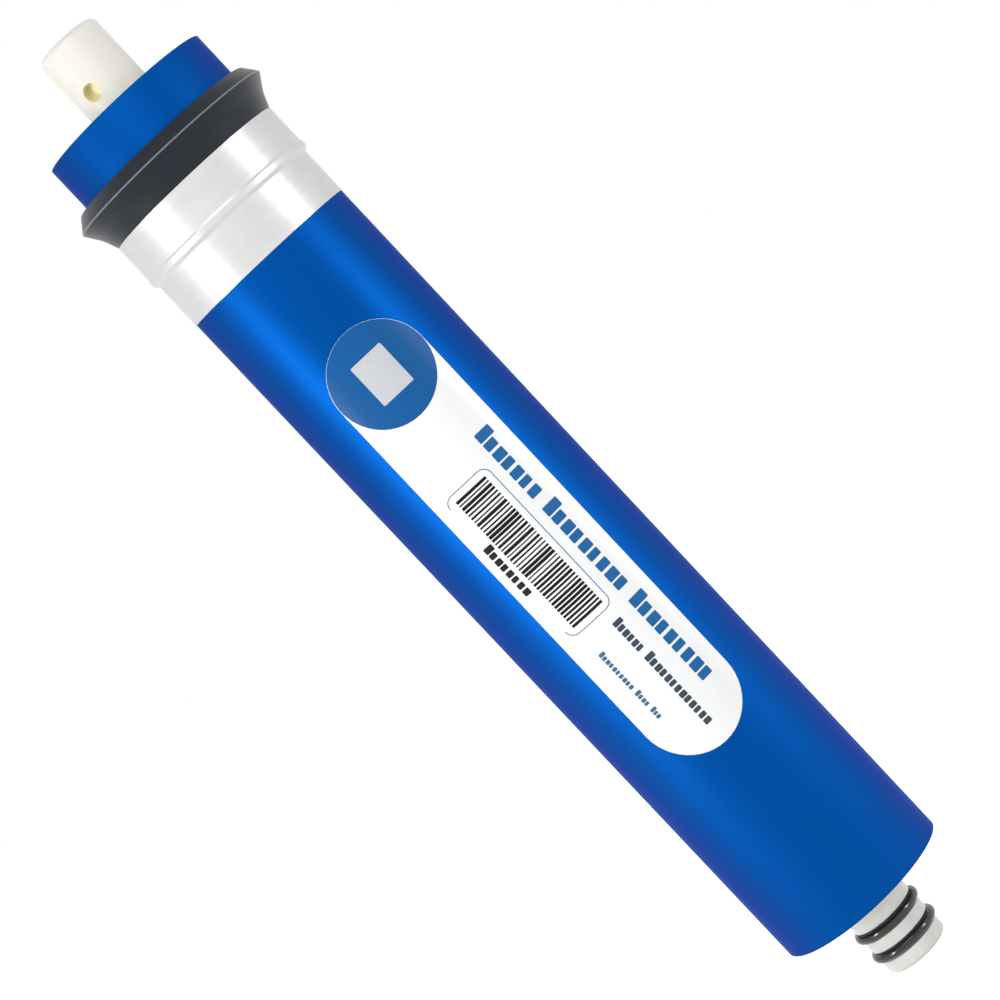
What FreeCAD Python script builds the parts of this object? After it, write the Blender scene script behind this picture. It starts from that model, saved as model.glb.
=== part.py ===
import FreeCAD, Part
import math
import os

# Spiral-wound reverse osmosis element for an under-sink water purifier.
# Units are millimetres. +Z runs along the element: the open spigot end with its two
# O-rings is at Z = 0, the feed end with the closed tube is at the top. The label
# faces -Y. The origin is the centre of the spigot's end face.

# ---------------------------------------------------------------- driving sizes
# Product tube, one moulding from end to end
ELEMENT_LENGTH = 298.0          # spigot tip to closed end
TUBE_DIAMETER = 17.1
TUBE_BORE = 9.5
CLOSED_END_THICKNESS = 17.0     # solid plastic above the blind bore
SPIGOT_TIP_ROUND = 1.4
CLOSED_END_ROUND = 2.0
BORE_MOUTH_CHAMFER = 0.5

# Blind hole in the side of the closed end, where the winding machine drives the tube
DRIVE_HOLE_DIAMETER = 4.6
DRIVE_HOLE_DEPTH = 2.5
DRIVE_HOLE_FROM_END = 14.0      # hole centre to the closed end
DRIVE_HOLE_BEARING = 26.0       # degrees from -Y towards -X

# Permeate holes through the tube's wall, on opposite sides in turn
PERMEATE_HOLE_DIAMETER = 2.4
PERMEATE_HOLE_COUNT = 5
PERMEATE_END_MARGIN = 28.0      # first and last hole to the winding's ends

# O-rings and their grooves
O_RING_SECTION = 2.62
O_RING_SEAT_GAP = 0.05          # groove floor to the ring's inside
O_RING_SIDES = 8                # flats that stand for the round section
O_RING_SEGMENTS = 32            # straight lengths that stand for the round ring
GROOVE_DEPTH = 1.5
GROOVE_WIDTH = 3.0
O_RING_FROM_TIP = 5.6           # centre of the outer ring to the spigot tip
O_RING_PITCH = 6.2

# Winding: one leaf of folded membrane with its spacer and permeate carrier
SPIGOT_LENGTH = 21.0            # spigot tip to the winding's end face
WINDING_LENGTH = 256.6
WINDING_TURNS = 9
MEMBRANE_THICKNESS = 0.20
CARRIER_THICKNESS = 0.34
SPACER_THICKNESS = 0.86
SPACER_SETBACK = 0.1            # membrane's fold to the spacer's end, in steps
TURN_STEPS = 16                 # straight lengths in one turn of the roll
CLIMB_STEPS = 2                 # of which these climb on to the turn below
ROLL_BEARING = 90.0             # degrees from +X to where every turn has climbed

# Outer wrap, several turns of thin blue film that hold the roll
WRAP_THICKNESS = 0.28

# Brine seal, a moulded rubber ring round the wrap near the feed end
SEAL_FRONT_FROM_WINDING_TOP = 12.4
SEAL_SKIRT_THICKNESS = 0.83
SEAL_SKIRT_LENGTH = 12.6        # skirt's free end to the flare
SEAL_BEAD_HEIGHT = 0.28         # bead round the skirt's free end
SEAL_BEAD_LENGTH = 2.4
SEAL_FLARE_LENGTH = 8.0         # foot of the flare to the ridge
SEAL_RIDGE_HEIGHT = 5.1         # ridge above the wrap
SEAL_NOSE_LENGTH = 3.4          # ridge to the front face
SEAL_NOSE_HEIGHT = 2.45         # front face's outer edge above the wrap
SEAL_CUP_DEPTH = 7.0            # groove in the front face, which lets the lip spread
SEAL_CUP_WIDTH = 0.8
SEAL_CUP_WALL = 0.8             # rubber between the wrap and the groove
SEAL_FIT_GAP = 0.02

# Silver tape that holds the seal's skirt down
TAPE_THICKNESS = 0.12
TAPE_TAIL_LENGTH = 12.9         # on the wrap, beyond the seal's skirt
TAPE_DROP = 0.5                 # from the bead's edge down to the wrap
STICK_GAP = 0.02                # adhesive under tape and label

# Label, a long white pill stuck on the front
LABEL_LENGTH = 129.5
LABEL_CHORD = 25.7              # straight across from edge to edge
LABEL_THICKNESS = 0.10
LABEL_FROM_WINDING_END = 52.9   # lower end to the winding's spigot end
LABEL_BEARING = 1.5             # degrees from -Y towards +X

# ------------------------------------------------------------- worked-out sizes
TUBE_RADIUS = TUBE_DIAMETER / 2
BORE_RADIUS = TUBE_BORE / 2
GROOVE_FLOOR_RADIUS = TUBE_RADIUS - GROOVE_DEPTH
PITCH = CARRIER_THICKNESS + 2 * MEMBRANE_THICKNESS + SPACER_THICKNESS
ROLL_START = TUBE_RADIUS / math.cos(math.pi / TURN_STEPS)
WOUND_RADIUS = ROLL_START + WINDING_TURNS * PITCH
WRAP_RADIUS = WOUND_RADIUS + WRAP_THICKNESS
LAST_STEP = WINDING_TURNS * TURN_STEPS - CLIMB_STEPS
WINDING_BOTTOM = SPIGOT_LENGTH
WINDING_TOP = WINDING_BOTTOM + WINDING_LENGTH
SEAL_FRONT = WINDING_TOP - SEAL_FRONT_FROM_WINDING_TOP
SEAL_RIDGE = SEAL_FRONT - SEAL_NOSE_LENGTH
SEAL_FLARE_FOOT = SEAL_RIDGE - SEAL_FLARE_LENGTH
SEAL_SKIRT_END = SEAL_FLARE_FOOT - SEAL_SKIRT_LENGTH
SEAL_BEAD_TOP = SEAL_SKIRT_END + SEAL_BEAD_LENGTH
SEAL_BEAD_MIDDLE = SEAL_SKIRT_END + SEAL_BEAD_LENGTH / 2


def point(radius, height):
    """Point of a turned profile, in the XZ plane."""
    return FreeCAD.Vector(radius, 0, height)


def polar(radius, bearing, height=0.0):
    """Point at a radius and at degrees from +X."""
    angle = math.radians(bearing)
    return FreeCAD.Vector(radius * math.cos(angle), radius * math.sin(angle), height)


def outline(points):
    """Straight edges through points and back to the first."""
    ends = points[1:] + points[:1]
    return [Part.LineSegment(start, end).toShape() for start, end in zip(points, ends)]


def turned(edges):
    """Solid of revolution about Z from the edges of a closed profile."""
    face = Part.Face(Part.Wire(edges))
    return face.revolve(FreeCAD.Vector(0, 0, 0), FreeCAD.Vector(0, 0, 1), 360)


def ring(inner, outer, bottom, height):
    """Plain hollow cylinder."""
    base = FreeCAD.Vector(0, 0, bottom)
    return Part.makeCylinder(outer, height, base).cut(Part.makeCylinder(inner, height, base))


# ------------------------------------------------------------------ product tube
def o_ring_heights():
    """Heights of the ring centres, outer ring first."""
    return [O_RING_FROM_TIP, O_RING_FROM_TIP + O_RING_PITCH]


def rounded_end(height, inward, radius):
    """Profile points that round the tube's rim off, from its face to its side."""
    middle = point(TUBE_RADIUS - radius, height + inward * radius)
    corners = []
    for angle in (0.0, 30.0, 60.0, 90.0):
        reach = math.radians(angle)
        corners.append(middle + radius * point(math.sin(reach), -inward * math.cos(reach)))
    return corners


def rounded_rod():
    """Rod of the tube's outside, with each end rounded off in three flats."""
    tip = rounded_end(0.0, 1, SPIGOT_TIP_ROUND)
    closed = rounded_end(ELEMENT_LENGTH, -1, CLOSED_END_ROUND)
    return turned(outline([point(0, 0)] + tip + closed[::-1] + [point(0, ELEMENT_LENGTH)]))


def blind_bore():
    """Bore up the middle, with a small lead-in at its mouth."""
    bore = Part.makeCylinder(BORE_RADIUS, ELEMENT_LENGTH - CLOSED_END_THICKNESS)
    mouth = Part.makeCone(BORE_RADIUS + BORE_MOUTH_CHAMFER, BORE_RADIUS, BORE_MOUTH_CHAMFER)
    return bore.fuse(mouth)


def o_ring_groove(height):
    """Plastic turned away for one O-ring."""
    return ring(GROOVE_FLOOR_RADIUS, TUBE_DIAMETER, height - GROOVE_WIDTH / 2, GROOVE_WIDTH)


def permeate_holes():
    """Holes that let the permeate into the bore, spread along the winding."""
    first = WINDING_BOTTOM + PERMEATE_END_MARGIN
    step = (WINDING_LENGTH - 2 * PERMEATE_END_MARGIN) / max(PERMEATE_HOLE_COUNT - 1, 1)
    drills = []
    for index in range(PERMEATE_HOLE_COUNT):
        side = FreeCAD.Vector((-1) ** index, 0, 0)
        start = FreeCAD.Vector(0, 0, first + index * step)
        drills.append(Part.makeCylinder(PERMEATE_HOLE_DIAMETER / 2, TUBE_DIAMETER, start, side))
    return drills


def drive_hole():
    """Blind hole in the side of the closed end."""
    bearing = -90.0 - DRIVE_HOLE_BEARING
    floor = polar(TUBE_RADIUS - DRIVE_HOLE_DEPTH, bearing, ELEMENT_LENGTH - DRIVE_HOLE_FROM_END)
    return Part.makeCylinder(DRIVE_HOLE_DIAMETER / 2, TUBE_RADIUS, floor, polar(1.0, bearing))


def product_tube():
    """Central tube that carries the winding and leads the permeate out."""
    tube = rounded_rod().cut(blind_bore())
    for height in o_ring_heights():
        tube = tube.cut(o_ring_groove(height))
    for drill in permeate_holes():
        tube = tube.cut(drill)
    return tube.cut(drive_hole())


def o_ring(height):
    """Rubber ring in its groove, a flat-sided section swept round a many-sided ring."""
    section = O_RING_SECTION / 2
    middle = GROOVE_FLOOR_RADIUS + O_RING_SEAT_GAP + section
    corners = [polar(middle, 360.0 * index / O_RING_SEGMENTS, height) for index in range(O_RING_SEGMENTS)]
    path = Part.Wire(outline(corners))
    start = (corners[0] + corners[1]) / 2
    along = corners[1] - corners[0]
    disc = Part.makeCircle(section, start, along).discretize(O_RING_SIDES + 1)
    profile = Part.Wire(outline(disc[:-1]))
    return path.makePipeShell([profile], True, True, 1)


# ----------------------------------------------------------------------- winding
# The roll turns in short straight steps. A turn stays at one radius until its last few
# steps, which climb by one pitch, so every layer lies on the one below it all round.
def wound_corner(offset, step):
    """Corner of a wound surface, an offset above the tube, whole steps from the start."""
    turns, place = divmod(step, TURN_STEPS)
    climbed = max(place - TURN_STEPS + CLIMB_STEPS, 0) / CLIMB_STEPS
    radius = ROLL_START + offset + (turns + climbed) * PITCH
    return polar(radius, ROLL_BEARING + 360.0 * step / TURN_STEPS, WINDING_BOTTOM)


def wound_side(offset, setback=0.0):
    """Corners of one side of a sheet, from its inner end to its outer end."""
    corners = [wound_corner(offset, step) for step in range(LAST_STEP + 1)]
    corners[0] = corners[0] + (corners[1] - corners[0]) * setback
    return corners


def wound_solid(corners):
    """Solid of the winding's length from the corners of its section."""
    face = Part.Face(Part.Wire(outline(corners)))
    return face.extrude(FreeCAD.Vector(0, 0, WINDING_LENGTH))


def permeate_carrier():
    """Tricot fabric next to the tube and between the backs of the membrane."""
    return wound_solid(wound_side(0.0) + wound_side(CARRIER_THICKNESS)[::-1])


def feed_spacer():
    """Netting between the faces of the membrane, which lets the feed water through."""
    low = CARRIER_THICKNESS + MEMBRANE_THICKNESS
    high = low + SPACER_THICKNESS
    return wound_solid(wound_side(low, SPACER_SETBACK) + wound_side(high, SPACER_SETBACK)[::-1])


def membrane_sheet():
    """One sheet folded at the tube, with a face on each side of the spacer."""
    low_face = CARRIER_THICKNESS + MEMBRANE_THICKNESS
    high_face = low_face + SPACER_THICKNESS
    inside = wound_side(low_face, SPACER_SETBACK)[::-1] + wound_side(high_face, SPACER_SETBACK)
    return wound_solid(wound_side(CARRIER_THICKNESS) + inside + wound_side(PITCH)[::-1])


def climb_wedge(offset, first_step, level):
    """Wedge between a climb and the round surface that it leaves or joins."""
    steps = range(first_step, first_step + CLIMB_STEPS + 1)
    climb = [wound_corner(offset, step) for step in steps]
    bearings = [ROLL_BEARING + 360.0 * step / TURN_STEPS for step in steps]
    round_side = [polar(level, bearing, WINDING_BOTTOM) for bearing in bearings]
    tight = 0 if climb[0].isEqual(round_side[0], 1e-6) else -1
    climb.pop(tight)
    return wound_solid(climb + round_side[::-1])


def core_bond():
    """Adhesive along the tube, under the first turn's climb over its own start."""
    return climb_wedge(0.0, TURN_STEPS - CLIMB_STEPS, ROLL_START)


def leaf_glue_line():
    """Glue along the leaf's outer end, which rounds the roll off."""
    return climb_wedge(PITCH, LAST_STEP - TURN_STEPS, WOUND_RADIUS)


def outer_wrap():
    """Blue film round the roll."""
    return ring(WOUND_RADIUS, WRAP_RADIUS, WINDING_BOTTOM, WINDING_LENGTH)


# ------------------------------------------------------------ brine seal and tape
def brine_seal():
    """Rubber ring whose lip points to the feed end and seals in the housing."""
    bore = WRAP_RADIUS + SEAL_FIT_GAP
    skirt = WRAP_RADIUS + SEAL_SKIRT_THICKNESS
    cup = WRAP_RADIUS + SEAL_CUP_WALL
    cup_floor = SEAL_FRONT - SEAL_CUP_DEPTH
    profile = [
        point(bore, SEAL_SKIRT_END),
        point(skirt + SEAL_BEAD_HEIGHT, SEAL_BEAD_MIDDLE),
        point(skirt, SEAL_BEAD_TOP),
        point(skirt, SEAL_FLARE_FOOT),
        point(WRAP_RADIUS + SEAL_RIDGE_HEIGHT, SEAL_RIDGE),
        point(WRAP_RADIUS + SEAL_NOSE_HEIGHT, SEAL_FRONT),
        point(cup + SEAL_CUP_WIDTH, SEAL_FRONT),
        point(cup + SEAL_CUP_WIDTH, cup_floor),
        point(cup, cup_floor),
        point(cup, SEAL_FRONT),
        point(bore, SEAL_FRONT),
    ]
    return turned(outline(profile))


def seal_tape():
    """Silver tape over the seal's skirt and bead and on down the wrap."""
    skirt = WRAP_RADIUS + SEAL_SKIRT_THICKNESS
    levels = [
        (skirt, SEAL_FLARE_FOOT),
        (skirt, SEAL_BEAD_TOP),
        (skirt + SEAL_BEAD_HEIGHT, SEAL_BEAD_MIDDLE),
        (WRAP_RADIUS, SEAL_SKIRT_END - TAPE_DROP),
        (WRAP_RADIUS, SEAL_SKIRT_END - TAPE_TAIL_LENGTH),
    ]
    under = [point(radius + STICK_GAP, height) for radius, height in levels]
    over = [point(radius + STICK_GAP + TAPE_THICKNESS, height) for radius, height in levels]
    return turned(outline(under + over[::-1]))


# ------------------------------------------------------------------------- label
def label():
    """Pill-shaped label that follows the wrap's curve."""
    inner = WRAP_RADIUS + STICK_GAP
    end_radius = LABEL_CHORD / 2
    bottom = WINDING_BOTTOM + LABEL_FROM_WINDING_END
    shell = ring(inner, inner + LABEL_THICKNESS, bottom, LABEL_LENGTH)
    depth = FreeCAD.Vector(0, 2 * WRAP_RADIUS, 0)
    front = -2 * WRAP_RADIUS
    low = FreeCAD.Vector(0, front, bottom + end_radius)
    high = FreeCAD.Vector(0, front, bottom + LABEL_LENGTH - end_radius)
    side = FreeCAD.Vector(end_radius, 0, 0)
    tip = FreeCAD.Vector(0, 0, end_radius)
    edges = [
        Part.Arc(low - side, low - tip, low + side).toShape(),
        Part.LineSegment(low + side, high + side).toShape(),
        Part.Arc(high + side, high + tip, high - side).toShape(),
        Part.LineSegment(high - side, low - side).toShape(),
    ]
    cutter = Part.Face(Part.Wire(edges)).extrude(depth)
    sticker = shell.common(cutter)
    sticker.rotate(FreeCAD.Vector(0, 0, 0), FreeCAD.Vector(0, 0, 1), LABEL_BEARING)
    return sticker


NODES = {
    "product_tube": product_tube,
    "o_ring_outer": lambda: o_ring(o_ring_heights()[0]),
    "o_ring_inner": lambda: o_ring(o_ring_heights()[1]),
    "permeate_carrier": permeate_carrier,
    "membrane_sheet": membrane_sheet,
    "feed_spacer": feed_spacer,
    "core_bond": core_bond,
    "leaf_glue_line": leaf_glue_line,
    "outer_wrap": outer_wrap,
    "brine_seal": brine_seal,
    "seal_tape": seal_tape,
    "label": label,
}

os.makedirs("parts", exist_ok=True)
for name, make in NODES.items():
    shape = make()
    print(name, shape.isValid(), len(shape.Solids), round(shape.Volume, 1), len(shape.Faces))
    shape.exportStep("parts/" + name + ".step")
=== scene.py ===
import math

import bmesh
import bpy
from mathutils import Matrix, Vector


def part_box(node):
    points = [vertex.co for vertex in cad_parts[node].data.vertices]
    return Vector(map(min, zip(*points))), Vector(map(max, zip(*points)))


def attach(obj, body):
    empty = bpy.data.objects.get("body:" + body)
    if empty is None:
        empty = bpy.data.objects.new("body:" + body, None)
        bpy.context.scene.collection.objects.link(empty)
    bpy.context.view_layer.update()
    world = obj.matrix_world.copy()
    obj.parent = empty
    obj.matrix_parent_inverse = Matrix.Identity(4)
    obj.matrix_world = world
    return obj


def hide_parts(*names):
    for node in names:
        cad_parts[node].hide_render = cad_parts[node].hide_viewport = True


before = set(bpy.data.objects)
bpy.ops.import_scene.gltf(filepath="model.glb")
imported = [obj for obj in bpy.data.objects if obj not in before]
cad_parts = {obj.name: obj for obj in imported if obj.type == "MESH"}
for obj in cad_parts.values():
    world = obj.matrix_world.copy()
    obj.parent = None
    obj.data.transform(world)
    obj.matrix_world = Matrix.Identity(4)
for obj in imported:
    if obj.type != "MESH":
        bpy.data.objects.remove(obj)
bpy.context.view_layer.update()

# ------------------------------------------------------------------ product tube
# The product tube is one ABS moulding that the whole element is wound on. Its feed end
# is closed and rounded, with a small blind hole where the winding machine drove it, and
# its open end carries two ring grooves. It is moulded first and everything else goes on it.
MM = 0.001
TURN = 2 * math.pi
tube_low, tube_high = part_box("product_tube")
TUBE_R = tube_high.x
TUBE_TOP = tube_high.z
BORE_R = 4.75 * MM
BORE_CHAMFER = 0.5 * MM
CLOSED_END = 17.0 * MM
TIP_ROUND = 1.4 * MM
CLOSED_ROUND = 2.0 * MM
GROOVE_R = TUBE_R - 1.5 * MM
GROOVE_HALF = 1.5 * MM
DRIVE_HOLE_R = 2.3 * MM
DRIVE_HOLE_DEPTH = 2.5 * MM
DRIVE_HOLE_Z = TUBE_TOP - 14.0 * MM
DRIVE_HOLE_BEARING = math.radians(26.0)
PERMEATE_R = 1.2 * MM
PERMEATE_COUNT = 5
PERMEATE_MARGIN = 28.0 * MM
GROOVE_EDGE = 0.15 * MM
GROOVE_CORNER = 0.3 * MM
wrap_low, wrap_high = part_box("outer_wrap")
ROLL_BOTTOM = wrap_low.z
ROLL_TOP = wrap_high.z
SHARP_ANGLE = 32.0


def rounded(corners, facets=8):
    """Profile points from (radius, height, round) corners, each round as an arc."""
    points = []
    count = len(corners)
    for index, (r, z, bend) in enumerate(corners):
        here = Vector((r, z))
        if bend == 0:
            points.append(here)
            continue
        back = (Vector(corners[index - 1][:2]) - here).normalized()
        ahead = (Vector(corners[(index + 1) % count][:2]) - here).normalized()
        half = back.angle(ahead) / 2
        centre = here + (back + ahead).normalized() * bend / math.sin(half)
        start = here + back * bend / math.tan(half) - centre
        end = here + ahead * bend / math.tan(half) - centre
        sweep = start.angle_signed(end)
        for facet in range(facets + 1):
            points.append(centre + start @ Matrix.Rotation(sweep * facet / facets, 2))
    return points


def turned(name, profile, segments=192, swell=None):
    """Mesh of a closed (radius, height) profile turned about Z."""
    shape = bmesh.new()
    loops = []
    for index in range(segments):
        angle = TURN * index / segments
        loop = []
        for r, z in profile:
            reach = r + swell(angle, r, z) if swell and r > 0 else r
            loop.append(shape.verts.new((reach * math.sin(angle), -reach * math.cos(angle), z)))
        loops.append(loop)
    for index, loop in enumerate(loops):
        after = loops[(index + 1) % segments]
        for place in range(len(profile)):
            onward = (place + 1) % len(profile)
            shape.faces.new((loop[place], after[place], after[onward], loop[onward]))
    bmesh.ops.remove_doubles(shape, verts=shape.verts, dist=1e-7)
    bmesh.ops.dissolve_degenerate(shape, edges=shape.edges, dist=1e-8)
    bmesh.ops.recalc_face_normals(shape, faces=shape.faces)
    return finished(name, shape)


def finished(name, shape, sharp=SHARP_ANGLE):
    """Object from a bmesh, smooth but for its sharp edges."""
    mesh = bpy.data.meshes.new(name)
    shape.to_mesh(mesh)
    shape.free()
    mesh.shade_smooth()
    mesh.set_sharp_from_angle(angle=math.radians(sharp))
    piece = bpy.data.objects.new(name, mesh)
    bpy.context.scene.collection.objects.link(piece)
    return piece


def drill(radius, depth, place, direction, segments=40):
    """Closed cylinder that starts at a place and runs in a direction."""
    cutter = bmesh.new()
    turn = direction.to_track_quat("Z", "Y").to_matrix().to_4x4()
    at = Matrix.Translation(place + direction * depth / 2)
    sizes = {"segments": segments, "radius1": radius, "radius2": radius, "depth": depth}
    bmesh.ops.create_cone(cutter, cap_ends=True, matrix=at @ turn, **sizes)
    return cutter


def bored(piece, cutters):
    """Cuts every cutter out of a piece and leaves a plain mesh."""
    block = bmesh.new()
    for cutter in cutters:
        part = bpy.data.meshes.new("drill")
        cutter.to_mesh(part)
        cutter.free()
        block.from_mesh(part)
    tool = finished("drills", block)
    cut = piece.modifiers.new("drilled", "BOOLEAN")
    cut.object = tool
    cut.solver = "EXACT"
    graph = bpy.context.evaluated_depsgraph_get()
    mesh = bpy.data.meshes.new_from_object(piece.evaluated_get(graph))
    piece.modifiers.clear()
    piece.data = mesh
    mesh.shade_smooth()
    mesh.set_sharp_from_angle(angle=math.radians(SHARP_ANGLE))
    bpy.data.objects.remove(tool)


def new_material(name):
    """Empty node material with its Principled shader."""
    material = bpy.data.materials.new(name)
    material.use_nodes = True
    return material, material.node_tree, material.node_tree.nodes["Principled BSDF"]


def node(tree, kind, inputs=None, **settings):
    """Node with its settings, and its inputs by name or number: values or sockets."""
    made = tree.nodes.new(kind)
    for key, value in settings.items():
        setattr(made, key, value)
    for key, value in (inputs or {}).items():
        if isinstance(value, bpy.types.NodeSocket):
            tree.links.new(value, made.inputs[key])
        else:
            made.inputs[key].default_value = value
    return made


def calc(tree, operation, *values):
    """Result of a Math node."""
    return node(tree, "ShaderNodeMath", dict(enumerate(values)), operation=operation).outputs[0]


def blend_colour(tree, factor, first, second):
    """Colour between two colours by a mask."""
    mix = node(tree, "ShaderNodeMix", {0: factor, 6: first, 7: second}, data_type="RGBA")
    return mix.outputs[2]


def steps(tree, value, low, high, to_low=0.0, to_high=1.0):
    """Value mapped smoothly from one range to another."""
    inputs = {0: value, 1: low, 2: high, 3: to_low, 4: to_high}
    return node(tree, "ShaderNodeMapRange", inputs, interpolation_type="SMOOTHSTEP").outputs[0]


def rgb(red, green, blue):
    """Linear colour from the 0 to 255 values that it shows."""
    channels = []
    for value in (red, green, blue):
        level = value / 255
        channels.append(level / 12.92 if level <= 0.04045 else ((level + 0.055) / 1.055) ** 2.4)
    return (*channels, 1.0)


def surface_group():
    """Where a point lies on a round piece: round it, along it, and out from the axis, in mm."""
    tree = bpy.data.node_groups.new("round_place", "ShaderNodeTree")
    tree.interface.new_socket(name="Radius", in_out="INPUT", socket_type="NodeSocketFloat")
    tree.interface.new_socket(name="Around", in_out="OUTPUT", socket_type="NodeSocketFloat")
    tree.interface.new_socket(name="Along", in_out="OUTPUT", socket_type="NodeSocketFloat")
    tree.interface.new_socket(name="Out", in_out="OUTPUT", socket_type="NodeSocketFloat")
    tree.interface.new_socket(name="Place", in_out="OUTPUT", socket_type="NodeSocketVector")
    given = node(tree, "NodeGroupInput")
    where = node(tree, "ShaderNodeTexCoord")
    split = node(tree, "ShaderNodeSeparateXYZ", {0: where.outputs["Object"]})
    angle = calc(tree, "ARCTAN2", split.outputs[0], calc(tree, "MULTIPLY", split.outputs[1], -1.0))
    around = calc(tree, "MULTIPLY", angle, given.outputs["Radius"])
    along = calc(tree, "MULTIPLY", split.outputs[2], 1 / MM)
    squares = calc(tree, "POWER", split.outputs[0], 2.0), calc(tree, "POWER", split.outputs[1], 2.0)
    out = calc(tree, "MULTIPLY", calc(tree, "SQRT", calc(tree, "ADD", *squares)), 1 / MM)
    place = node(tree, "ShaderNodeCombineXYZ", {0: around, 1: along, 2: out})
    result = node(tree, "NodeGroupOutput")
    tree.links.new(around, result.inputs["Around"])
    tree.links.new(along, result.inputs["Along"])
    tree.links.new(out, result.inputs["Out"])
    tree.links.new(place.outputs[0], result.inputs["Place"])
    return tree


def grain_group():
    """Uneven gloss and fine relief, at a scale given round and along a piece."""
    tree = bpy.data.node_groups.new("surface_grain", "ShaderNodeTree")
    for socket in ("Scale", "Stretch", "Rough", "Rough Spread"):
        tree.interface.new_socket(name=socket, in_out="INPUT", socket_type="NodeSocketFloat")
    tree.interface.new_socket(name="Place", in_out="INPUT", socket_type="NodeSocketVector")
    tree.interface.new_socket(name="Roughness", in_out="OUTPUT", socket_type="NodeSocketFloat")
    tree.interface.new_socket(name="Relief", in_out="OUTPUT", socket_type="NodeSocketFloat")
    given = node(tree, "NodeGroupInput")
    stretch = node(tree, "ShaderNodeCombineXYZ", {0: 1.0, 1: given.outputs["Stretch"], 2: 1.0})
    both = {0: given.outputs["Place"], 1: stretch.outputs[0]}
    place = node(tree, "ShaderNodeVectorMath", both, operation="MULTIPLY")
    pattern = {"Vector": place.outputs[0], "Scale": given.outputs["Scale"], "Detail": 4.0}
    noise = node(tree, "ShaderNodeTexNoise", pattern)
    uneven = calc(tree, "SUBTRACT", noise.outputs[0], 0.5)
    spread = calc(tree, "MULTIPLY", uneven, given.outputs["Rough Spread"])
    result = node(tree, "NodeGroupOutput")
    tree.links.new(calc(tree, "ADD", given.outputs["Rough"], spread), result.inputs["Roughness"])
    tree.links.new(noise.outputs[0], result.inputs["Relief"])
    return tree


ROUND_PLACE = surface_group()
GRAIN = grain_group()


def placed(tree, radius):
    """The round_place group for a piece of a radius in mm."""
    group = tree.nodes.new("ShaderNodeGroup")
    group.node_tree = ROUND_PLACE
    group.inputs["Radius"].default_value = radius
    return group


def grained(tree, place, scale, stretch, rough, spread):
    """The surface_grain group with one piece's scale and gloss."""
    group = tree.nodes.new("ShaderNodeGroup")
    group.node_tree = GRAIN
    group.inputs["Scale"].default_value = scale
    group.inputs["Stretch"].default_value = stretch
    group.inputs["Rough"].default_value = rough
    group.inputs["Rough Spread"].default_value = spread
    tree.links.new(place, group.inputs["Place"])
    return group


def laid_on(tree, shader, shade, grain, strength=0.0, depth=0.0):
    """Joins a colour, its gloss and, where it has any, its relief to a shader."""
    tree.links.new(shade, shader.inputs["Base Color"])
    tree.links.new(grain.outputs["Roughness"], shader.inputs["Roughness"])
    if strength > 0:
        relief = {"Strength": strength, "Distance": depth, "Height": grain.outputs["Relief"]}
        bump = node(tree, "ShaderNodeBump", relief)
        tree.links.new(bump.outputs[0], shader.inputs["Normal"])


def tube_material():
    """Ivory at the closed end, with painted shade that turns it greyer towards the spigot, and a yellower
    drive hole.
    """
    material, tree, shader = new_material("moulded_ivory")
    where = placed(tree, TUBE_R / MM)
    grain = grained(tree, where.outputs["Place"], 0.35, 0.4, 0.34, 0.12)
    # Painted shade: the colour is blended from ivory at the closed end to a greyer white at the spigot end.
    length = steps(tree, where.outputs["Along"], 10.0, 285.0)
    ivory = blend_colour(tree, length, rgb(226, 228, 224), rgb(240, 238, 224))
    tint = steps(tree, grain.outputs["Relief"], 0.3, 0.7)
    ivory = blend_colour(tree, tint, ivory, rgb(238, 236, 230))
    deep = steps(tree, where.outputs["Out"], TUBE_R / MM - 0.35, TUBE_R / MM - 0.1, 1.0, 0.0)
    middle = DRIVE_HOLE_Z / MM
    high = steps(tree, where.outputs["Along"], middle - 5.0, middle - 4.0)
    low = steps(tree, where.outputs["Along"], middle + 4.0, middle + 5.0, 1.0, 0.0)
    hole = calc(tree, "MULTIPLY", calc(tree, "MULTIPLY", deep, high), low)
    ivory = blend_colour(tree, hole, ivory, rgb(246, 238, 190))
    laid_on(tree, shader, ivory, grain, 0.05, 0.0002)
    shader.inputs["Specular IOR Level"].default_value = 0.4
    return material


ring_centres = []
for ring_node in ("o_ring_outer", "o_ring_inner"):
    ring_low, ring_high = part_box(ring_node)
    ring_centres.append((ring_low.z + ring_high.z) / 2)

tube_corners = [
    (0.0, TUBE_TOP - CLOSED_END, 0),
    (BORE_R, TUBE_TOP - CLOSED_END, 0),
    (BORE_R, BORE_CHAMFER, 0),
    (BORE_R + BORE_CHAMFER, 0.0, 0),
    (TUBE_R, 0.0, TIP_ROUND),
]
for centre in ring_centres:
    tube_corners += [
        (TUBE_R, centre - GROOVE_HALF, GROOVE_EDGE),
        (GROOVE_R, centre - GROOVE_HALF, GROOVE_CORNER),
        (GROOVE_R, centre + GROOVE_HALF, GROOVE_CORNER),
        (TUBE_R, centre + GROOVE_HALF, GROOVE_EDGE),
    ]
tube_corners += [(TUBE_R, TUBE_TOP, CLOSED_ROUND), (0.0, TUBE_TOP, 0)]
tube = turned("tube_moulding", rounded(tube_corners), segments=128)
toward_hole = Vector((-math.sin(DRIVE_HOLE_BEARING), -math.cos(DRIVE_HOLE_BEARING), 0))
hole_floor = toward_hole * (TUBE_R - DRIVE_HOLE_DEPTH) + Vector((0, 0, DRIVE_HOLE_Z))
drills = [drill(DRIVE_HOLE_R, TUBE_R, hole_floor, toward_hole)]
first_hole = ROLL_BOTTOM + PERMEATE_MARGIN
hole_step = (ROLL_TOP - ROLL_BOTTOM - 2 * PERMEATE_MARGIN) / (PERMEATE_COUNT - 1)
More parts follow.
